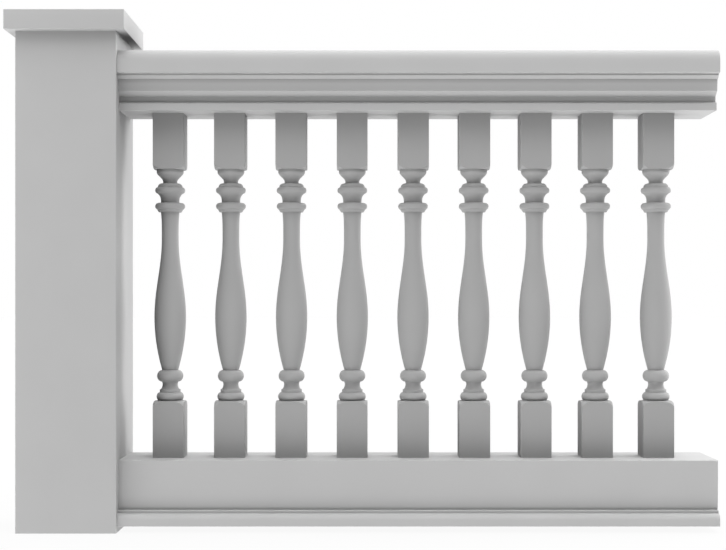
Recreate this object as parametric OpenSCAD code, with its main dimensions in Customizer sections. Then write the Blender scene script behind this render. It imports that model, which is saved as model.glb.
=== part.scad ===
// Moulded polyurethane balustrade: a hollow newel post with its cap, a top and a bottom
// rail on reinforcing pipes, and a row of turned balusters between the rails.
// Millimetres. The origin is the centre of the post's foot. +X runs along the rails,
// away from the post, and +Z is up. Every profile is symmetric about the XZ plane.

/* [Newel post] */
// Outside width of the square post
post_w = 203.2; // [180:0.1:260]
// Thickness of the post's moulded walls
post_wall = 28.6; // [20:0.1:40]
// Height of the post that shows above the top rail
post_reveal = 34.4; // [20:0.1:120]

/* [Post cap] */
// How far the cap stands out past each face of the post
cap_overhang = 19.05; // [10:0.05:40]
// Thickness of the cap's slab
cap_h = 40; // [25:0.5:80]
// Depth of the plug under the cap that centres it in the post
cap_plug_h = 12; // [6:0.5:20]
// Gap between the plug and each wall of the post
cap_plug_gap = 0.3; // [0.1:0.05:0.5]

/* [Top rail] */
// Width of the handrail moulding
handrail_w = 194.8; // [180:0.1:200]
// Thickness of the handrail moulding
handrail_h = 49; // [44:0.1:80]
// Radius of the handrail's upper edges
handrail_round = 24; // [4:0.5:24]
// Radius of the handrail's lower edges
handrail_lip = 4; // [0.5:0.1:8]
// Width of the step under the handrail
step_w = 171.4; // [165:0.1:176]
// Height of the step under the handrail
step_h = 3.4; // [2:0.1:8]
// Width of the foot of the bevel under the step
bevel_w = 158; // [153:0.1:164]
// Height of the bevel under the step
bevel_h = 6; // [4:0.1:12]
// Width of the neck below the bevel, at its top
neck_w = 151; // [149:0.1:153]
// Width of the neck at its waist
waist_w = 146.8; // [144:0.1:149]
// Height of the neck
neck_h = 23.5; // [18:0.1:40]
// Height of the neck's upright waist
waist_h = 5; // [2:0.1:16]
// Width across the recess between the neck and the band
recess_w = 117.2; // [100:0.1:124]
// Height of the recess's upright back
recess_h = 12; // [6:0.1:20]
// Height of the slope from the recess out to the neck
slope_h = 10; // [5:0.1:16]
// Width of the band that the balusters meet
band_w = 135.6; // [130:0.1:142]
// Height of the band
band_h = 17; // [12:0.1:30]
// Radius of the band's upper edges
band_top_round = 4; // [0.5:0.1:8]
// Radius of the band's lower edges
band_foot_round = 0.8; // [0.5:0.1:4]

/* [Bottom rail] */
// Gap between the floor and the underside of the bottom rail
rail_clearance = 13.2; // [0:0.1:100]
// Width of the body
body_w = 157; // [140:0.1:160]
// Height of the body's upright sides
body_h = 70.3; // [60:0.1:120]
// Radius of the body's upper edges
body_round = 1.5; // [0.5:0.1:4]
// Width of the body's foot, where it is narrowest
body_foot_w = 152; // [130:0.1:154]
// Height of the gentle curve from the body's foot out to its sides
body_curve_h = 30; // [8:0.1:40]
// Width of the fillet below the body
fillet_w = 167; // [162:0.1:172]
// Height of the fillet below the body
fillet_h = 6; // [2:0.1:8]
// Width of the base
base_w = 192.8; // [180:0.1:200]
// Height of the quarter-round from the fillet out to the base
ovolo_h = 13; // [5:0.1:16]
// Height of the base's upright sides
base_h = 12; // [8:0.1:30]

/* [Rail pipes] */
// Outside diameter of the reinforcing pipes
pipe_od = 60.3; // [48:0.1:64]
// Wall thickness of the reinforcing pipes
pipe_wall = 3.9; // [2.5:0.1:6]
// Gap between each pipe and the rail moulded round it
pipe_gap = 0.2; // [0.1:0.05:0.5]

/* [Rail length and balusters] */
// Length of both rails, from the post's face to their cut ends
rail_l = 1216; // [1000:1:1400]
// Number of balusters, evenly spaced
baluster_count = 9; // [2:1:10]
// From the post's face to the centre of the first baluster
first_gap = 94.5; // [50:0.1:140]
// From the centre of the last baluster to the cut ends of the rails
last_gap = 109.8; // [50:0.1:140]

/* [Baluster blocks] */
// Height of a baluster
baluster_h = 711.2; // [660:0.1:900]
// Width of the square blocks
block_w = 63.5; // [58:0.1:76]
// Height of the lower block
lower_block_h = 116; // [90:0.1:130]
// Height of the upper block
upper_block_h = 115; // [90:0.1:130]
// Radius that turns the blocks' inner corners
pommel_r = 15; // [8:0.1:16]

/* [Baluster foot] */
// Diameter of the ring that stands on the lower block
foot_ring_d = 56.2; // [50:0.1:58]
// Height of the ring on the lower block
foot_ring_h = 17.5; // [10:0.1:20]
// Diameter of the flat fillet above the ring
foot_fillet_d = 42.8; // [38:0.1:48]
// Height of the flat fillet above the ring
foot_fillet_h = 6; // [3:0.1:8]
// Diameter of the foot's neck
foot_neck_d = 31.2; // [26:0.1:33]
// Height of the cove from the fillet up to the neck
foot_cove_h = 11.5; // [8:0.1:16]
// Height of the neck from its narrowest up to the bead
foot_neck_h = 4.7; // [3:0.1:10]
// Diameter of the bead
bead_d = 54; // [46:0.1:58]
// Height of the bead
bead_h = 24; // [18:0.1:28]

/* [Baluster vase] */
// Diameter of the vase's foot, on the bead
vase_foot_d = 33.6; // [30:0.1:38]
// Diameter of the vase at its fullest
belly_d = 65.2; // [56:0.1:72]
// Height from the vase's foot up to its fullest
belly_h = 111; // [90:0.1:150]
// Diameter of the stem at its slenderest
stem_d = 34.8; // [28:0.1:38]
// Diameter of the stem's top, under the collar
stem_top_d = 38.6; // [36:0.1:44]
// Height over which the stem's top spreads
stem_flare_h = 56; // [30:0.1:80]

/* [Baluster head] */
// Diameter of the tapered fillet under the collar, at its foot
collar_foot_d = 47.2; // [45:0.1:50]
// Diameter of the tapered fillet where it meets the collar
collar_fillet_d = 53.6; // [50:0.1:54.5]
// Height of the tapered fillet under the collar
collar_fillet_h = 5.2; // [3:0.1:8]
// Diameter of the collar
collar_d = 61.8; // [55:0.1:64]
// Diameter of the collar's flat top
collar_top_d = 50; // [42:0.1:54]
// Height of the collar's rounded edge
collar_h = 13.6; // [8:0.1:15]
// Diameter of the head's lower neck, on the collar
lower_neck_d = 38.2; // [32:0.1:40]
// Height of the cove from the collar out to the disc
disc_cove_h = 20.6; // [15:0.1:25]
// Diameter of the disc
disc_d = 61.8; // [56:0.1:64]
// Height of the disc's rounded edge
disc_h = 11.6; // [7:0.1:14]
// How far the disc's edge is rounded in from its rim
disc_nose = 3.7; // [2:0.1:5]
// Diameter of the cushion on top of the disc
cushion_d = 51.6; // [48:0.1:54]
// Diameter of the cushion's flat top
cushion_top_d = 36.8; // [34:0.1:44]
// Height of the cushion
cushion_h = 8.4; // [5:0.1:11]
// Diameter of the head's upper neck
upper_neck_d = 29.4; // [24:0.1:32]
// Height from the cushion up to the cup
upper_neck_h = 3.9; // [3:0.1:10]
// Diameter of the cup's rim, under the upper block
cup_d = 55.6; // [50:0.1:58]
// Height of the cup's upright rim
cup_rim_h = 4.5; // [2:0.1:8]
// Height of the cup below its rim
cup_h = 20; // [14:0.1:24]

/* [Hidden] */

foam_colour = [0.75, 0.75, 0.75];
steel_colour = [0.62, 0.64, 0.66];
arc_steps = 6;
bead_steps = 12;
curve_steps = 14;
// Facets round every pipe and turning.
round_fn = 96;
// How sharply the stem's top and the disc's cove spread.
stem_flare_power = 4;
disc_cove_power = 3.6;
// How far round its lower edge the ring on the block turns in, in degrees.
ring_undercut = 60;

// Heights and lengths that follow from the sizes above.
recess_z = band_h;
neck_z = recess_z + recess_h + slope_h;
step_z = neck_z + neck_h + bevel_h;
handrail_z = step_z + step_h;
top_rail_h = handrail_z + handrail_h;
fillet_z = base_h + ovolo_h;
body_foot_z = fillet_z + fillet_h;
body_z = body_foot_z + body_curve_h;
bottom_rail_h = body_z + body_h;
baluster_z = rail_clearance + bottom_rail_h;
top_rail_z = baluster_z + baluster_h;
post_h = top_rail_z + top_rail_h + post_reveal;
rail_x = post_w / 2;
baluster_pitch = (rail_l - first_gap - last_gap) / (baluster_count - 1);
core_w = post_w - 2 * post_wall;
// The turning starts this far outside the corners of the square blocks.
stock_margin = 0.25;
stock_r = block_w / sqrt(2) + stock_margin;
pommel_x = stock_r - pommel_r;
overlap = 1;

// Heights up a baluster, from its foot to the middle of its vase.
foot_fillet_z = lower_block_h + foot_ring_h;
foot_cove_z = foot_fillet_z + foot_fillet_h;
foot_neck_z = foot_cove_z + foot_cove_h;
bead_z = foot_neck_z + foot_neck_h;
vase_z = bead_z + bead_h;
belly_z = vase_z + belly_h;

// Heights down a baluster, from its upper block to the top of its stem.
head_z = baluster_h - upper_block_h;
cup_z = head_z - cup_rim_h - cup_h;
cushion_top_z = cup_z - upper_neck_h;
disc_top_z = cushion_top_z - cushion_h;
disc_z = disc_top_z - disc_h;
lower_neck_z = disc_z - disc_cove_h;
collar_z = lower_neck_z - collar_h;
stem_top_z = collar_z - collar_fillet_h;
stem_z = stem_top_z - stem_flare_h;

// Points along an elliptical arc about a centre, from angle a0 to angle a1.
function arc(centre, rx, ry, a0, a1, steps = arc_steps) = [
    for (i = [0 : steps])
        let (a = a0 + (a1 - a0) * i / steps)
            centre + [rx * cos(a), ry * sin(a)]
];

// Points on a smooth S from one [radius, height] to another, upright at both ends.
function s_curve(p0, p1, steps = curve_steps) = [
    for (i = [0 : steps])
        let (t = i / steps, s = (1 - cos(180 * t)) / 2)
            [p0.x + (p1.x - p0.x) * s, p0.y + (p1.y - p0.y) * t]
];

// Points on a curve that leaves p0 at a slope and is upright when it reaches p1.
function swell(p0, p1, steps = curve_steps) = [
    for (i = [0 : steps])
        let (t = i / steps)
            [p1.x - (p1.x - p0.x) * pow(1 - t, 2), p0.y + (p1.y - p0.y) * t]
];

// Points on a curve that is upright at p0 and spreads faster and faster to p1.
function flare(p0, p1, power, steps = curve_steps) = [
    for (i = [0 : steps])
        let (t = i / steps)
            [p0.x + (p1.x - p0.x) * pow(t, power), p0.y + (p1.y - p0.y) * t]
];

// A whole outline from its half on the +X side, listed from the bottom up.
function both_sides(half) = concat(
    half,
    [for (i = [len(half) - 1 : -1 : 0]) [-half[i].x, half[i].y]]
);

// Extrudes an outline drawn as [y, z] along the rails.
module along_rail() {
    translate([rail_x, 0, 0])
        rotate([90, 0, 90])
            linear_extrude(height = rail_l) children();
}

// The round way through a rail that its pipe lies in.
module pipe_way(z) {
    translate([rail_x - overlap, 0, z])
        rotate([0, 90, 0])
            cylinder(d = pipe_od + 2 * pipe_gap, h = rail_l + 2 * overlap, $fn = round_fn);
}

module rail_pipe(z) {
    translate([rail_x, 0, z])
        rotate([0, 90, 0])
            difference() {
                cylinder(d = pipe_od, h = rail_l, $fn = round_fn);
                translate([0, 0, -overlap])
                    cylinder(d = pipe_od - 2 * pipe_wall, h = rail_l + 2 * overlap, $fn = round_fn);
            }
}

module newel_post() {
    color(foam_colour)
        difference() {
            translate([-post_w / 2, -post_w / 2, 0])
                cube([post_w, post_w, post_h]);
            translate([-core_w / 2, -core_w / 2, -overlap])
                cube([core_w, core_w, post_h + 2 * overlap]);
        }
}

module post_cap() {
    cap_w = post_w + 2 * cap_overhang;
    plug_w = core_w - 2 * cap_plug_gap;
    color(foam_colour)
        translate([0, 0, post_h])
            union() {
                translate([-cap_w / 2, -cap_w / 2, 0])
                    cube([cap_w, cap_w, cap_h]);
                translate([-plug_w / 2, -plug_w / 2, -cap_plug_h])
                    cube([plug_w, plug_w, cap_plug_h + overlap]);
            }
}

// Half of the top rail's outline, from its underside up.
function top_rail_half() = concat(
    arc([band_w / 2 - band_foot_round, band_foot_round], band_foot_round, band_foot_round, -90, 0),
    arc([band_w / 2 - band_top_round, recess_z - band_top_round], band_top_round, band_top_round, 0, 90),
    [[recess_w / 2, recess_z], [recess_w / 2, recess_z + recess_h], [waist_w / 2, neck_z]],
    s_curve([waist_w / 2, neck_z + waist_h], [neck_w / 2, neck_z + neck_h], arc_steps),
    [[bevel_w / 2, neck_z + neck_h], [step_w / 2, step_z], [step_w / 2, handrail_z]],
    arc([handrail_w / 2 - handrail_lip, handrail_z + handrail_lip], handrail_lip, handrail_lip, -90, 0),
    arc([handrail_w / 2 - handrail_round, top_rail_h - handrail_round],
        handrail_round, handrail_round, 0, 90, curve_steps)
);

module top_rail() {
    color(foam_colour)
        difference() {
            translate([0, 0, top_rail_z])
                along_rail() polygon(both_sides(top_rail_half()));
            pipe_way(top_rail_z + top_rail_h / 2);
        }
}

// Half of the bottom rail's outline, from its underside up.
function bottom_rail_half() = concat(
    [[base_w / 2, 0]],
    arc([fillet_w / 2, base_h], (base_w - fillet_w) / 2, ovolo_h, 0, 90),
    [[fillet_w / 2, body_foot_z]],
    swell([body_foot_w / 2, body_foot_z], [body_w / 2, body_z], arc_steps),
    arc([body_w / 2 - body_round, bottom_rail_h - body_round], body_round, body_round, 0, 90)
);

module bottom_rail() {
    color(foam_colour)
        difference() {
            translate([0, 0, rail_clearance])
                along_rail() polygon(both_sides(bottom_rail_half()));
            pipe_way(rail_clearance + bottom_rail_h / 2);
        }
}

module top_rail_pipe() {
    color(steel_colour) rail_pipe(top_rail_z + top_rail_h / 2);
}

module bottom_rail_pipe() {
    color(steel_colour) rail_pipe(rail_clearance + bottom_rail_h / 2);
}

// The turning's foot: the lower block's pommel, the ring, the neck and the bead.
function turned_foot() = concat(
    [[stock_r, 0]],
    arc([pommel_x, lower_block_h - pommel_r], pommel_r, pommel_r, 0, 90),
    arc([foot_fillet_d / 2, lower_block_h + foot_ring_h / 2],
        (foot_ring_d - foot_fillet_d) / 2, foot_ring_h / 2, -ring_undercut, 90),
    [[foot_fillet_d / 2, foot_cove_z]],
    arc([foot_fillet_d / 2, foot_neck_z],
        (foot_fillet_d - foot_neck_d) / 2, foot_cove_h, 270, 180),
    arc([vase_foot_d / 2, bead_z + bead_h / 2],
        (bead_d - vase_foot_d) / 2, bead_h / 2, -90, 90, bead_steps)
);

function turned_vase() = concat(
    swell([vase_foot_d / 2, vase_z + overlap], [belly_d / 2, belly_z]),
    s_curve([belly_d / 2, belly_z], [stem_d / 2, stem_z]),
    flare([stem_d / 2, stem_z], [stem_top_d / 2, stem_top_z], stem_flare_power)
);

// The turning's head: the collar, the disc with its cushion, the cup and the upper pommel.
function turned_head() = concat(
    [[collar_foot_d / 2, stem_top_z], [collar_fillet_d / 2, collar_z]],
    arc([collar_top_d / 2, collar_z + collar_h / 2],
        (collar_d - collar_top_d) / 2, collar_h / 2, -90, 90, bead_steps),
    [[lower_neck_d / 2, lower_neck_z]],
    flare([lower_neck_d / 2, lower_neck_z], [disc_d / 2 - disc_nose, disc_z], disc_cove_power),
    arc([disc_d / 2 - disc_nose, disc_z + disc_h / 2], disc_nose, disc_h / 2, -90, 90),
    arc([cushion_top_d / 2, disc_top_z], (cushion_d - cushion_top_d) / 2, cushion_h, 0, 90),
    [[upper_neck_d / 2, cushion_top_z]],
    s_curve([upper_neck_d / 2, cup_z], [cup_d / 2, cup_z + cup_h]),
    [[cup_d / 2, head_z]],
    arc([pommel_x, head_z + pommel_r], pommel_r, pommel_r, -90, 0),
    [[stock_r, baluster_h]]
);

// The whole outline that a baluster is turned to, as [radius, height].
function turning() = concat(
    [[0, 0]], turned_foot(), turned_vase(), turned_head(), [[0, baluster_h]]
);

// What a baluster is cut from: a square block at each end and a round blank between them.
module baluster_stock() {
    translate([-block_w / 2, -block_w / 2, 0])
        cube([block_w, block_w, lower_block_h]);
    translate([0, 0, lower_block_h])
        cylinder(r = stock_r, h = head_z - lower_block_h, $fn = round_fn);
    translate([-block_w / 2, -block_w / 2, head_z])
        cube([block_w, block_w, upper_block_h]);
}

module baluster(i) {
    color(foam_colour)
        translate([rail_x + first_gap + (i - 1) * baluster_pitch, 0, baluster_z])
            intersection() {
                baluster_stock();
                rotate_extrude($fn = round_fn)
                    polygon(turning());
            }
}

newel_post();
post_cap();
top_rail();
bottom_rail();
top_rail_pipe();
bottom_rail_pipe();
for (i = [1 : baluster_count])
    baluster(i);
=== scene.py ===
"""A moulded polyurethane balustrade: newel post and cap, top and bottom rails, turned balusters.

Metres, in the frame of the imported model: the origin is the centre of the post's foot,
+X runs along the rails and -Y is the front.
"""

from math import cos, pi, radians, sin, tan

import bmesh
import bpy
from mathutils import Matrix, Vector


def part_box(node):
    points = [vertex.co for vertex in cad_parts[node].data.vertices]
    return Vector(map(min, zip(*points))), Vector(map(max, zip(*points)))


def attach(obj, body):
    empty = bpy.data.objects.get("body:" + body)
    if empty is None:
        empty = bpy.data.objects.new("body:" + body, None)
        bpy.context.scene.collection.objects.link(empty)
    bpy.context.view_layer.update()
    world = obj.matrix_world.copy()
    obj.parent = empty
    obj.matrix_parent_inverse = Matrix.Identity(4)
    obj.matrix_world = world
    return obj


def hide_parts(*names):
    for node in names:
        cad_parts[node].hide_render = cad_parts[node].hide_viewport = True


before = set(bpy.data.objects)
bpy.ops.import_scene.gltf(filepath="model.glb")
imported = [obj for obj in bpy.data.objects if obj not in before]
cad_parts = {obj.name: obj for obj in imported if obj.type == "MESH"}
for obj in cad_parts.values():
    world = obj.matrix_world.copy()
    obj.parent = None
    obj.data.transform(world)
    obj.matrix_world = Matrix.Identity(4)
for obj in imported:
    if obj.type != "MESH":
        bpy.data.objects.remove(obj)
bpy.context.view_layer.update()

MM = 0.001

# ---------------------------------------------------------------- sizes from the frame

POST_LOW, POST_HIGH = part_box("newel_post")
CAP_LOW, CAP_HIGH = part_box("post_cap")
PIPE_LOW, PIPE_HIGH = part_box("top_rail_pipe")
BALUSTER_LOW, BALUSTER_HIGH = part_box("baluster_1")

POST_WALL = 28.6 * MM
PIPE_R = (PIPE_HIGH.z - PIPE_LOW.z) / 2
PIPE_WALL = 3.9 * MM
PIPE_GAP = 0.2 * MM
PLUG_GAP = 0.3 * MM
BALUSTER_H = BALUSTER_HIGH.z - BALUSTER_LOW.z

# ---------------------------------------------------------------- sizes of the mouldings

SOFT_EDGE = 1.5 * MM
SOFT_EDGE_STEPS = 4
BLOCK_EDGE = 0.8 * MM
BLOCK_EDGE_STEPS = 3
ARC_STEPS = 10
BEAD_STEPS = 20
CURVE_STEPS = 28
SPIN_STEPS = 96
# Points closer than this are one point, and points this near a cut lie on it.
TINY = 1e-6
ON_CUT = 1e-7

# Corners of each rail's outline as (half width, height above its underside, rounding).
TOP_RAIL = (
    (67.8, 0, 0.8),
    (67.8, 17, 4),
    (58.6, 17, 0),
    (58.6, 29, 0),
    (73.4, 39, 0),
    (73.4, 47, 45),
    (75.5, 57.5, 45),
    (75.5, 62.5, 0),
    (79, 62.5, 0),
    (85.7, 68.5, 0),
    (85.7, 71.9, 0),
    (97.4, 71.9, 4),
    (97.4, 120.9, 24),
)
BOTTOM_RAIL = (
    (96.4, 0, 1),
    (96.4, 25, 12.5),
    (83.5, 25, 0),
    (83.5, 31, 0.6),
    (76, 31, 0),
    (78.5, 46, 180),
    (78.5, 131.3, 1.5),
)
# Each rail's name, the node it stands for and its outline.
RAILS = (
    ("handrail", "top_rail", TOP_RAIL),
    ("foot_rail", "bottom_rail", BOTTOM_RAIL),
)


# ---------------------------------------------------------------- outlines

def arc(centre, rx, ry, start, end, steps=ARC_STEPS):
    """Points along an elliptical arc, with its angles in degrees."""
    turns = [radians(start + (end - start) * i / steps) for i in range(steps + 1)]
    return [(centre[0] + rx * cos(a), centre[1] + ry * sin(a)) for a in turns]


def s_curve(p0, p1, steps=CURVE_STEPS):
    """Points on a smooth S that is upright at both ends."""
    points = []
    for i in range(steps + 1):
        t = i / steps
        s = (1 - cos(pi * t)) / 2
        points.append((p0[0] + (p1[0] - p0[0]) * s, p0[1] + (p1[1] - p0[1]) * t))
    return points


def swell(p0, p1, steps=CURVE_STEPS):
    """Points on a curve that leaves p0 at a slope and is upright when it reaches p1."""
    points = []
    for i in range(steps + 1):
        t = i / steps
        points.append((p1[0] - (p1[0] - p0[0]) * (1 - t) ** 2, p0[1] + (p1[1] - p0[1]) * t))
    return points


def flare(p0, p1, power, steps=CURVE_STEPS):
    """Points on a curve that is upright at p0 and spreads faster and faster to p1."""
    points = []
    for i in range(steps + 1):
        t = i / steps
        points.append((p0[0] + (p1[0] - p0[0]) * t ** power, p0[1] + (p1[1] - p0[1]) * t))
    return points


# ---------------------------------------------------------------- baluster sizes, in millimetres

BLOCK_HALF = 31.75
LOWER_BLOCK_H = 116
UPPER_BLOCK_H = 115
POMMEL_R = 15
STOCK_MARGIN = 0.25

FOOT_RING_R, FOOT_RING_H = 28.1, 17.5
RING_UNDERCUT = 60
FOOT_FILLET_R, FOOT_FILLET_H = 21.4, 6
FOOT_NECK_R, FOOT_COVE_H, FOOT_NECK_H = 15.6, 11.5, 4.7
BEAD_R, BEAD_H = 27, 24
VASE_FOOT_R, VASE_FOOT_FILLET_H = 16.8, 1
BELLY_R, BELLY_H = 32.6, 111
STEM_R = 17.4
STEM_TOP_R, STEM_FLARE_H, STEM_FLARE_POWER = 19.3, 56, 4
COLLAR_FOOT_R, COLLAR_FILLET_R, COLLAR_FILLET_H = 23.6, 26.8, 5.2
COLLAR_R, COLLAR_TOP_R, COLLAR_H = 30.9, 25, 13.6
LOWER_NECK_R, DISC_COVE_H, DISC_COVE_POWER = 19.1, 20.6, 3.6
DISC_R, DISC_H, DISC_NOSE = 30.9, 11.6, 3.7
CUSHION_R, CUSHION_TOP_R, CUSHION_H = 25.8, 18.4, 8.4
UPPER_NECK_R, UPPER_NECK_H = 14.7, 3.9
CUP_R, CUP_RIM_H, CUP_H = 27.8, 4.5, 20


def turning_outline():
    """The baluster's turning as (radius, height) points in millimetres, from the foot up."""
    height = BALUSTER_H / MM
    stock_r = BLOCK_HALF * 2 ** 0.5 + STOCK_MARGIN
    pommel_centre = stock_r - POMMEL_R

    fillet_z = LOWER_BLOCK_H + FOOT_RING_H
    cove_z = fillet_z + FOOT_FILLET_H
    neck_z = cove_z + FOOT_COVE_H
    bead_z = neck_z + FOOT_NECK_H
    vase_z = bead_z + BEAD_H
    belly_z = vase_z + BELLY_H

    head_z = height - UPPER_BLOCK_H
    cup_z = head_z - CUP_RIM_H - CUP_H
    cushion_top_z = cup_z - UPPER_NECK_H
    disc_top_z = cushion_top_z - CUSHION_H
    disc_z = disc_top_z - DISC_H
    lower_neck_z = disc_z - DISC_COVE_H
    collar_z = lower_neck_z - COLLAR_H
    stem_top_z = collar_z - COLLAR_FILLET_H
    stem_z = stem_top_z - STEM_FLARE_H

    return (
        [(0, 0), (stock_r, 0)]
        + arc((pommel_centre, LOWER_BLOCK_H - POMMEL_R), POMMEL_R, POMMEL_R, 0, 90)
        + arc((FOOT_FILLET_R, LOWER_BLOCK_H + FOOT_RING_H / 2),
              FOOT_RING_R - FOOT_FILLET_R, FOOT_RING_H / 2, -RING_UNDERCUT, 90)
        + [(FOOT_FILLET_R, cove_z)]
        + arc((FOOT_FILLET_R, neck_z), FOOT_FILLET_R - FOOT_NECK_R, FOOT_COVE_H, 270, 180)
        + arc((VASE_FOOT_R, bead_z + BEAD_H / 2),
              BEAD_R - VASE_FOOT_R, BEAD_H / 2, -90, 90, BEAD_STEPS)
        + swell((VASE_FOOT_R, vase_z + VASE_FOOT_FILLET_H), (BELLY_R, belly_z))
        + s_curve((BELLY_R, belly_z), (STEM_R, stem_z))[1:]
        + flare((STEM_R, stem_z), (STEM_TOP_R, stem_top_z), STEM_FLARE_POWER)[1:]
        + [(COLLAR_FOOT_R, stem_top_z), (COLLAR_FILLET_R, collar_z)]
        + arc((COLLAR_TOP_R, collar_z + COLLAR_H / 2),
              COLLAR_R - COLLAR_TOP_R, COLLAR_H / 2, -90, 90, BEAD_STEPS)
        + [(LOWER_NECK_R, lower_neck_z)]
        + flare((LOWER_NECK_R, lower_neck_z), (DISC_R - DISC_NOSE, disc_z), DISC_COVE_POWER)[1:]
        + arc((DISC_R - DISC_NOSE, disc_z + DISC_H / 2), DISC_NOSE, DISC_H / 2, -90, 90)[1:]
        + arc((CUSHION_TOP_R, disc_top_z), CUSHION_R - CUSHION_TOP_R, CUSHION_H, 0, 90)
        + [(UPPER_NECK_R, cushion_top_z)]
        + s_curve((UPPER_NECK_R, cup_z), (CUP_R, cup_z + CUP_H))
        + [(CUP_R, head_z)]
        + arc((pommel_centre, head_z + POMMEL_R), POMMEL_R, POMMEL_R, -90, 0)
        + [(stock_r, height), (0, height)]
    )


# ---------------------------------------------------------------- colours and finishes

WHITE = (1, 1, 1, 1)

PRIMER_DARK, PRIMER_LIGHT = (0.66, 0.66, 0.66, 1), (0.70, 0.70, 0.70, 1)
# Painted shade: the turnings have the same primer as the mouldings, but their colour is set darker
# to stand in for the shade they sit in between the rails.
TURNING_SHADED_DARK, TURNING_SHADED_LIGHT = (0.51, 0.51, 0.51, 1), (0.56, 0.56, 0.56, 1)
PRIMER_ROUGHNESS = 0.7
GRAIN_SCALE, GRAIN_DETAIL, GRAIN_DEPTH = 1400, 3, 0.01 * MM
WAVE_SCALE, WAVE_DETAIL, WAVE_DEPTH = 9, 1, 0.4 * MM

FOAM_DARK, FOAM_LIGHT = (0.50, 0.44, 0.32, 1), (0.62, 0.56, 0.43, 1)
FOAM_SKIN = (0.68, 0.65, 0.57, 1)
FOAM_SKIN_DEPTH = 5 * MM
# How open the foam's surface is to its own inside, at the skin and further in.
SKIN_OPEN, INNER_OPEN = 0.45, 0.85
FOAM_ROUGHNESS, FOAM_SPECULAR = 0.9, 0.3
CELL_SCALE, CELL_DEPTH = 900, 0.4 * MM
# The saw's marks are long across the rail and close together up its height.
SAW_STRETCH, SAW_DETAIL, SAW_DEPTH = (0, 12, 400), 3, 0.3 * MM

ZINC_DARK, ZINC_LIGHT = (0.40, 0.42, 0.44, 1), (0.58, 0.60, 0.62, 1)
ZINC_BRIGHTEST, ZINC_DULLEST = 0.38, 0.62
SPANGLE_SCALE, SPANGLE_DEPTH = 160, 0.1 * MM


def new_material(name):
    """A material with its nodes and links, ready for its finish."""
    material = bpy.data.materials.new(name)
    material.use_nodes = True
    return material, material.node_tree.nodes, material.node_tree.links


def feed(links, socket, value):
    """Links a socket to another node's output, or gives it a plain value."""
    if isinstance(value, bpy.types.NodeSocket):
        links.new(value, socket)
    else:
        socket.default_value = value


def calculate(nodes, links, operation, *values):
    """The result of one step of arithmetic on values or outputs."""
    step = nodes.new("ShaderNodeMath")
    step.operation = operation
    for socket, value in zip(step.inputs, values):
        feed(links, socket, value)
    return step.outputs[0]


def between(nodes, links, factor, first, second):
    """A colour between two others, by a factor that changes over the surface."""
    mix = nodes.new("ShaderNodeMix")
    mix.data_type = "RGBA"
    for label, value in (("Factor", factor), ("A", first), ("B", second)):
        feed(links, mix.inputs[label], value)
    return mix.outputs["Result"]


def noise(nodes, links, place, scale, detail):
    """A cloudy pattern from 0 to 1."""
    cloud = nodes.new("ShaderNodeTexNoise")
    for label, value in (("Vector", place), ("Scale", scale), ("Detail", detail)):
        feed(links, cloud.inputs[label], value)
    return cloud.outputs["Fac"]


def crystals(nodes, links, place, scale):
    """Cells packed against each other: each one's distance and its own colour."""
    cells = nodes.new("ShaderNodeTexVoronoi")
    cells.inputs["Scale"].default_value = scale
    links.new(place, cells.inputs["Vector"])
    return cells.outputs["Distance"], cells.outputs["Color"]


def relief(nodes, links, shader, height, distance=1.0):
    """Raises a surface by a height."""
    bump = nodes.new("ShaderNodeBump")
    bump.inputs["Distance"].default_value = distance
    links.new(height, bump.inputs["Height"])
    links.new(bump.outputs["Normal"], shader.inputs["Normal"])


def moulded_skin_group():
    """The relief and tone of a primed moulding: a fine grain over slow waves."""
    group = bpy.data.node_groups.new("moulded_skin_relief", "ShaderNodeTree")
    for label in ("Grain", "Waves", "Grain depth", "Wave depth"):
        group.interface.new_socket(label, in_out="INPUT", socket_type="NodeSocketFloat")
    for label in ("Height", "Tone"):
        group.interface.new_socket(label, in_out="OUTPUT", socket_type="NodeSocketFloat")
    nodes, links = group.nodes, group.links
    entry = nodes.new("NodeGroupInput").outputs
    out = nodes.new("NodeGroupOutput").inputs
    place = nodes.new("ShaderNodeTexCoord").outputs["Object"]
    grain = noise(nodes, links, place, entry["Grain"], GRAIN_DETAIL)
    waves = noise(nodes, links, place, entry["Waves"], WAVE_DETAIL)
    fine = calculate(nodes, links, "MULTIPLY", grain, entry["Grain depth"])
    height = calculate(nodes, links, "MULTIPLY_ADD", waves, entry["Wave depth"], fine)
    links.new(height, out["Height"])
    links.new(waves, out["Tone"])
    return group


SKIN_RELIEF = moulded_skin_group()


def skin_finish(name, dark, light):
    """A matt moulded surface whose colour drifts a little between dark and light."""
    material, nodes, links = new_material(name)
    shader = nodes["Principled BSDF"]
    shader.inputs["Roughness"].default_value = PRIMER_ROUGHNESS
    skin = nodes.new("ShaderNodeGroup")
    skin.node_tree = SKIN_RELIEF
    skin.inputs["Grain"].default_value = GRAIN_SCALE
    skin.inputs["Waves"].default_value = WAVE_SCALE
    skin.inputs["Grain depth"].default_value = GRAIN_DEPTH
    skin.inputs["Wave depth"].default_value = WAVE_DEPTH
    tone = between(nodes, links, skin.outputs["Tone"], dark, light)
    links.new(tone, shader.inputs["Base Color"])
    relief(nodes, links, shader, skin.outputs["Height"])
    return material


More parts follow.
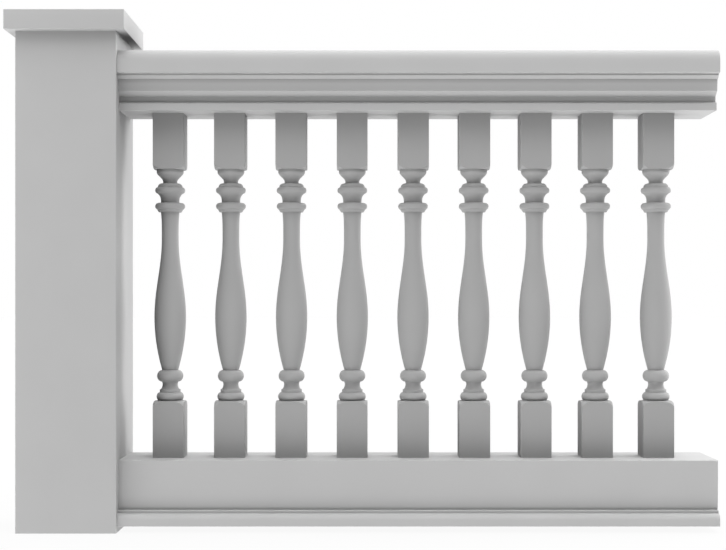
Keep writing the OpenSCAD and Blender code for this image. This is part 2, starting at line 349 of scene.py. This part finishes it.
def cut_foam():
    """A sawn end of rigid foam: fine cells, with a paler and denser skin along its outline."""
    material, nodes, links = new_material("cut_foam")
    shader = nodes["Principled BSDF"]
    shader.inputs["Roughness"].default_value = FOAM_ROUGHNESS
    shader.inputs["Specular IOR Level"].default_value = FOAM_SPECULAR
    place = nodes.new("ShaderNodeTexCoord").outputs["Object"]
    stretch = nodes.new("ShaderNodeMapping")
    stretch.inputs["Scale"].default_value = SAW_STRETCH
    links.new(place, stretch.inputs["Vector"])
    saw_marks = noise(nodes, links, stretch.outputs["Vector"], 1, SAW_DETAIL)
    cells, _ = crystals(nodes, links, place, CELL_SCALE)

    edge = nodes.new("ShaderNodeAmbientOcclusion")
    edge.inside = True
    edge.only_local = True
    edge.inputs["Distance"].default_value = FOAM_SKIN_DEPTH
    inner = nodes.new("ShaderNodeMapRange")
    inner.inputs["From Min"].default_value = SKIN_OPEN
    inner.inputs["From Max"].default_value = INNER_OPEN
    links.new(edge.outputs["AO"], inner.inputs["Value"])

    foam = between(nodes, links, saw_marks, FOAM_DARK, FOAM_LIGHT)
    tone = between(nodes, links, inner.outputs["Result"], FOAM_SKIN, foam)
    links.new(tone, shader.inputs["Base Color"])
    saw_depth = calculate(nodes, links, "MULTIPLY", saw_marks, SAW_DEPTH)
    height = calculate(nodes, links, "MULTIPLY_ADD", cells, CELL_DEPTH, saw_depth)
    relief(nodes, links, shader, height)
    return material


def galvanised_steel():
    """Zinc-dipped pipe: dull grey crystals, each a little lighter or darker than the next."""
    material, nodes, links = new_material("galvanised_steel")
    shader = nodes["Principled BSDF"]
    shader.inputs["Metallic"].default_value = 1
    place = nodes.new("ShaderNodeTexCoord").outputs["Object"]
    distance, colour = crystals(nodes, links, place, SPANGLE_SCALE)
    shade = nodes.new("ShaderNodeSeparateColor")
    links.new(colour, shade.inputs["Color"])
    tone = between(nodes, links, shade.outputs["Red"], ZINC_DARK, ZINC_LIGHT)
    links.new(tone, shader.inputs["Base Color"])
    dull = nodes.new("ShaderNodeMapRange")
    dull.inputs["To Min"].default_value = ZINC_BRIGHTEST
    dull.inputs["To Max"].default_value = ZINC_DULLEST
    links.new(shade.outputs["Green"], dull.inputs["Value"])
    links.new(dull.outputs["Result"], shader.inputs["Roughness"])
    relief(nodes, links, shader, distance, SPANGLE_DEPTH)
    return material


PRIMED = skin_finish("primed_moulding", PRIMER_DARK, PRIMER_LIGHT)
# The balusters' finish is the primer with painted shade, darker than on the mouldings.
TURNED_PAINTED_SHADE = skin_finish("primed_turning_painted_shade", TURNING_SHADED_DARK, TURNING_SHADED_LIGHT)
CUT_FOAM = cut_foam()
GALVANISED = galvanised_steel()


# ---------------------------------------------------------------- making pieces

# Edges that bend by more than this many degrees are shaded sharp.
SHARP_ANGLE = 30


def finish_piece(bm, name, stands_for, materials):
    """Turns a bmesh into a piece that stands for its CAD node."""
    bmesh.ops.recalc_face_normals(bm, faces=bm.faces)
    mesh = bpy.data.meshes.new(name)
    bm.to_mesh(mesh)
    bm.free()
    for material in materials:
        mesh.materials.append(material)
    mesh.shade_smooth()
    mesh.set_sharp_from_angle(angle=radians(SHARP_ANGLE))
    piece = bpy.data.objects.new(name, mesh)
    bpy.context.scene.collection.objects.link(piece)
    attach(piece, "root")
    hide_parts(stands_for)
    return piece


def box_matrix(low, high):
    """Places a cube of size one so that it fills a box."""
    size = high - low
    return Matrix.Translation((low + high) / 2) @ Matrix.Diagonal((*size, 1))


def faces_at(bm, axis, value):
    """The faces that lie wholly in one plane across an axis."""
    return [f for f in bm.faces if all(abs(v.co[axis] - value) < TINY for v in f.verts)]


def soften(bm, edges, width, steps):
    """Rounds off edges a little."""
    bmesh.ops.bevel(bm, geom=edges, offset=width, segments=steps, profile=0.5,
                    affect="EDGES", material=-1)


def extrude(bm, faces, offset):
    """Draws faces out by an offset, leaving the first ones where they are."""
    grown = bmesh.ops.extrude_face_region(bm, geom=faces)
    moved = [v for v in grown["geom"] if isinstance(v, bmesh.types.BMVert)]
    bmesh.ops.translate(bm, verts=moved, vec=offset)


def spin_round(bm, verts, edges, centre, axis):
    """Turns an outline all the way round an axis."""
    bmesh.ops.spin(bm, geom=verts + edges, cent=centre, axis=axis, dvec=(0, 0, 0),
                   angle=2 * pi, steps=SPIN_STEPS, use_merge=True)


def newel_post():
    """A square shell, open at both ends, with its upright corners softened."""
    bm = bmesh.new()
    bmesh.ops.create_cube(bm, size=1, matrix=box_matrix(POST_LOW, POST_HIGH))
    ends = faces_at(bm, 2, POST_LOW.z) + faces_at(bm, 2, POST_HIGH.z)
    bmesh.ops.delete(bm, geom=ends, context="FACES_ONLY")
    upright = [e for e in bm.edges if abs(e.verts[0].co.z - e.verts[1].co.z) > POST_WALL]
    soften(bm, upright, SOFT_EDGE, SOFT_EDGE_STEPS)
    core_corner = (POST_HIGH.x - POST_WALL) * 2 ** 0.5
    rims = []
    for z in (POST_LOW.z, POST_HIGH.z):
        square = Matrix.Translation((0, 0, z)) @ Matrix.Rotation(pi / 4, 4, "Z")
        core = bmesh.ops.create_circle(bm, cap_ends=False, segments=4, radius=core_corner,
                                       matrix=square)
        inner = {e for v in core["verts"] for e in v.link_edges}
        outer = {e for e in bm.edges
                 if e.is_boundary and all(abs(v.co.z - z) < TINY for v in e.verts)}
        bmesh.ops.triangle_fill(bm, edges=list(inner | outer), use_beauty=True, normal=(0, 0, 1))
        rims.append(list(inner))
    bmesh.ops.bridge_loops(bm, edges=rims[0] + rims[1])
    return finish_piece(bm, "post_shell", "newel_post", [PRIMED])


def post_cap():
    """A plain slab with soft edges and a plug that centres it in the post."""
    slab_low = Vector((CAP_LOW.x, CAP_LOW.y, POST_HIGH.z))
    bm = bmesh.new()
    bmesh.ops.create_cube(bm, size=1, matrix=box_matrix(slab_low, CAP_HIGH))
    underside = faces_at(bm, 2, POST_HIGH.z)
    plug_inset = (CAP_HIGH.x - POST_HIGH.x) + POST_WALL + PLUG_GAP
    bmesh.ops.inset_region(bm, faces=underside, thickness=plug_inset, use_even_offset=True)
    extrude(bm, underside, (0, 0, CAP_LOW.z - POST_HIGH.z))
    bmesh.ops.delete(bm, geom=underside, context="FACES_ONLY")
    rim = [e for e in bm.edges
           if all(max(abs(v.co.x), abs(v.co.y)) > CAP_HIGH.x - MM for v in e.verts)]
    soften(bm, rim, SOFT_EDGE, SOFT_EDGE_STEPS)
    return finish_piece(bm, "cap_slab", "post_cap", [PRIMED])


def round_corner(bm, corner, radius):
    """Rounds one corner of a flat outline, with its centre out of sight inside the bend."""
    arms = [e.other_vert(corner).co - corner.co for e in corner.link_edges]
    half_bend = arms[0].angle(arms[1]) / 2
    bmesh.ops.bevel(bm, geom=[corner], offset=radius / tan(half_bend), segments=ARC_STEPS,
                    profile=0.5, affect="VERTICES", material=-1)


def rail(name, stands_for, corners):
    """A moulded rail: its outline with rounded corners, extruded round the way for its pipe."""
    low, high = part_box(stands_for)
    pipe_low, pipe_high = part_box(stands_for + "_pipe")
    bm = bmesh.new()
    sides = []
    roundings = []
    for side in (1, -1):
        verts = [bm.verts.new((low.x, side * y * MM, low.z + z * MM)) for y, z, _ in corners]
        roundings += [(v, radius * MM) for v, (_, _, radius) in zip(verts, corners) if radius]
        sides.append(verts)
    bm.faces.new(sides[0] + sides[1][::-1])
    for corner, radius in roundings:
        round_corner(bm, corner, radius)
    bmesh.ops.delete(bm, geom=bm.faces[:], context="FACES_ONLY")
    pipe_end = (Matrix.Translation((low.x, 0, (pipe_low.z + pipe_high.z) / 2))
                @ Matrix.Rotation(pi / 2, 4, "Y"))
    bmesh.ops.create_circle(bm, cap_ends=False, segments=SPIN_STEPS, radius=PIPE_R + PIPE_GAP,
                            matrix=pipe_end)
    bmesh.ops.triangle_fill(bm, edges=bm.edges[:], use_beauty=True, normal=(1, 0, 0))
    extrude(bm, bm.faces[:], (high.x - low.x, 0, 0))
    for face in faces_at(bm, 0, high.x):
        face.material_index = 1
    return finish_piece(bm, name, stands_for, [PRIMED, CUT_FOAM])


def pipe(name, stands_for):
    """A length of pipe, its wall spun round the rail's axis."""
    low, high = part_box(stands_for)
    centre_z = (low.z + high.z) / 2
    bore_r = PIPE_R - PIPE_WALL
    bm = bmesh.new()
    wall = [(low.x, bore_r), (high.x, bore_r), (high.x, PIPE_R), (low.x, PIPE_R)]
    verts = [bm.verts.new((x, 0, centre_z + r)) for x, r in wall]
    edges = [bm.edges.new(pair) for pair in zip(verts, verts[1:] + verts[:1])]
    spin_round(bm, verts, edges, (0, 0, centre_z), (1, 0, 0))
    return finish_piece(bm, name, stands_for, [GALVANISED])


def square_off(bm, low, high):
    """Cuts the turning between two heights back to a square block with softened corners."""
    def inside(part):
        verts = [part] if isinstance(part, bmesh.types.BMVert) else part.verts
        return all(low - TINY < v.co.z < high + TINY for v in verts)

    half = BLOCK_HALF * MM
    for turn in range(4):
        normal = Matrix.Rotation(turn * pi / 2, 3, "Z") @ Vector((1, 0, 0))
        block = [part for part in bm.verts[:] + bm.edges[:] + bm.faces[:] if inside(part)]
        cut = bmesh.ops.bisect_plane(bm, geom=block, dist=ON_CUT, plane_co=normal * half,
                                     plane_no=normal, clear_outer=True)
        rim = [e for e in cut["geom_cut"] if isinstance(e, bmesh.types.BMEdge)]
        bmesh.ops.holes_fill(bm, edges=rim, sides=0)
    corners = [e for e in bm.edges if inside(e)
               and all(abs(abs(v.co[axis]) - half) < TINY for v in e.verts for axis in (0, 1))]
    soften(bm, corners, BLOCK_EDGE, BLOCK_EDGE_STEPS)


def baluster_shape():
    """One baluster about the Z axis, with its foot at the origin."""
    bm = bmesh.new()
    verts = [bm.verts.new((r * MM, 0, z * MM)) for r, z in turning_outline()]
    edges = [bm.edges.new(pair) for pair in zip(verts, verts[1:])]
    spin_round(bm, verts, edges, (0, 0, 0), (0, 0, 1))
    bmesh.ops.remove_doubles(bm, verts=bm.verts, dist=TINY)
    square_off(bm, 0, LOWER_BLOCK_H * MM)
    square_off(bm, BALUSTER_H - UPPER_BLOCK_H * MM, BALUSTER_H)
    bmesh.ops.remove_doubles(bm, verts=bm.verts, dist=TINY)
    return bm


def balusters():
    """A copy of the one turning for every baluster in the frame."""
    shape = baluster_shape()
    names = [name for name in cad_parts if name.startswith("baluster_")]
    for name in sorted(names, key=lambda name: int(name.split("_")[1])):
        low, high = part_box(name)
        bm = shape.copy()
        bmesh.ops.translate(bm, verts=bm.verts, vec=((low.x + high.x) / 2, 0, low.z))
        finish_piece(bm, "turned_" + name, name, [TURNED_PAINTED_SHADE])
    shape.free()


newel_post()
post_cap()
for rail_name, node, outline in RAILS:
    rail(rail_name + "_moulding", node, outline)
for rail_name, node, _ in RAILS:
    pipe(rail_name + "_pipe", node + "_pipe")
balusters()


# ---------------------------------------------------------------- floor, light and camera

FLOOR_HALF = 40
FLOOR_COLOUR = (0.8, 0.8, 0.8, 1)
# How much of the floor's own white the camera sees. The rest is lit, so it keeps a shadow.
FLOOR_WHITE = 0.93
# Each soft light: the direction it comes from, how narrow it is and its level.
SOFT_LIGHTS = (
    ((0, 0, 1), 12, 1.3),
    ((0, -0.4, 0.9), 12, 2.9),
    ((0.7, 0, 0.7), 4, 1.5),
    ((0.5, 0.6, 0.6), 4, 0.8),
    ((-0.5, 0.6, 0.6), 4, 0.7),
    ((0.85, 0.5, 0.1), 12, 2.6),
    ((-1, -0.1, 0), 12, 3.8),
    ((0, 0, -1), 1, 1.7),
)


# The eye is in front of the middle of the section, a little under half its height.
EYE = (0.607, -2.8965, 0.4607)
LENS = 68.93
SENSOR_WIDTH = 36
SHIFT_X, SHIFT_Y = -0.0061, 0.0406


def seen_directly(nodes, links):
    """One for rays from the camera and in reflections, and nothing for those that light things."""
    path = nodes.new("ShaderNodeLightPath")
    seen = path.outputs["Is Camera Ray"]
    for kind in ("Is Glossy Ray", "Is Transmission Ray"):
        seen = calculate(nodes, links, "MAXIMUM", seen, path.outputs[kind])
    return seen


def floor():
    """A wide pale floor that fades into the white around it."""
    bm = bmesh.new()
    bmesh.ops.create_grid(bm, x_segments=1, y_segments=1, size=FLOOR_HALF)
    mesh = bpy.data.meshes.new("floor")
    bm.to_mesh(mesh)
    bm.free()
    plane = bpy.data.objects.new("floor", mesh)
    bpy.context.scene.collection.objects.link(plane)
    plane.visible_diffuse = False
    material, nodes, links = new_material("floor_white")
    shader = nodes["Principled BSDF"]
    shader.inputs["Base Color"].default_value = FLOOR_COLOUR
    shader.inputs["Roughness"].default_value = 1
    shader.inputs["Specular IOR Level"].default_value = 0
    mesh.materials.append(material)
    white = nodes.new("ShaderNodeEmission")
    white.inputs["Color"].default_value = WHITE
    white.inputs["Strength"].default_value = 1
    share = calculate(nodes, links, "MULTIPLY", seen_directly(nodes, links), FLOOR_WHITE)
    mix = nodes.new("ShaderNodeMixShader")
    links.new(share, mix.inputs["Fac"])
    links.new(shader.outputs[0], mix.inputs[1])
    links.new(white.outputs[0], mix.inputs[2])
    links.new(mix.outputs[0], nodes["Material Output"].inputs["Surface"])


def sky():
    """A dome of soft lights, which the camera and reflections see as plain white."""
    world = bpy.data.worlds.new("soft_dome")
    world.use_nodes = True
    bpy.context.scene.world = world
    nodes, links = world.node_tree.nodes, world.node_tree.links
    view = nodes.new("ShaderNodeTexCoord").outputs["Generated"]
    level = 0
    for source, tightness, strength in SOFT_LIGHTS:
        facing = nodes.new("ShaderNodeVectorMath")
        facing.operation = "DOT_PRODUCT"
        facing.inputs[1].default_value = Vector(source).normalized()
        links.new(view, facing.inputs[0])
        lit = calculate(nodes, links, "MAXIMUM", facing.outputs["Value"], 0)
        spread = calculate(nodes, links, "POWER", lit, tightness)
        level = calculate(nodes, links, "MULTIPLY_ADD", spread, strength, level)
    shown = nodes.new("ShaderNodeMix")
    for label, value in (("Factor", seen_directly(nodes, links)), ("A", level), ("B", 1)):
        feed(links, shown.inputs[label], value)
    background = nodes["Background"]
    background.inputs["Color"].default_value = WHITE
    links.new(shown.outputs["Result"], background.inputs["Strength"])


def camera():
    """A level eye in front of the section, shifted to frame it without tilting."""
    data = bpy.data.cameras.new("camera")
    data.sensor_width = SENSOR_WIDTH
    data.lens = LENS
    data.shift_x = SHIFT_X
    data.shift_y = SHIFT_Y
    eye = bpy.data.objects.new("camera", data)
    eye.location = EYE
    eye.rotation_euler = (pi / 2, 0, 0)
    bpy.context.scene.collection.objects.link(eye)
    bpy.context.scene.camera = eye


floor()
sky()
camera()
bpy.context.scene.view_settings.view_transform = "Standard"
bpy.context.scene.cycles.diffuse_bounces = 0
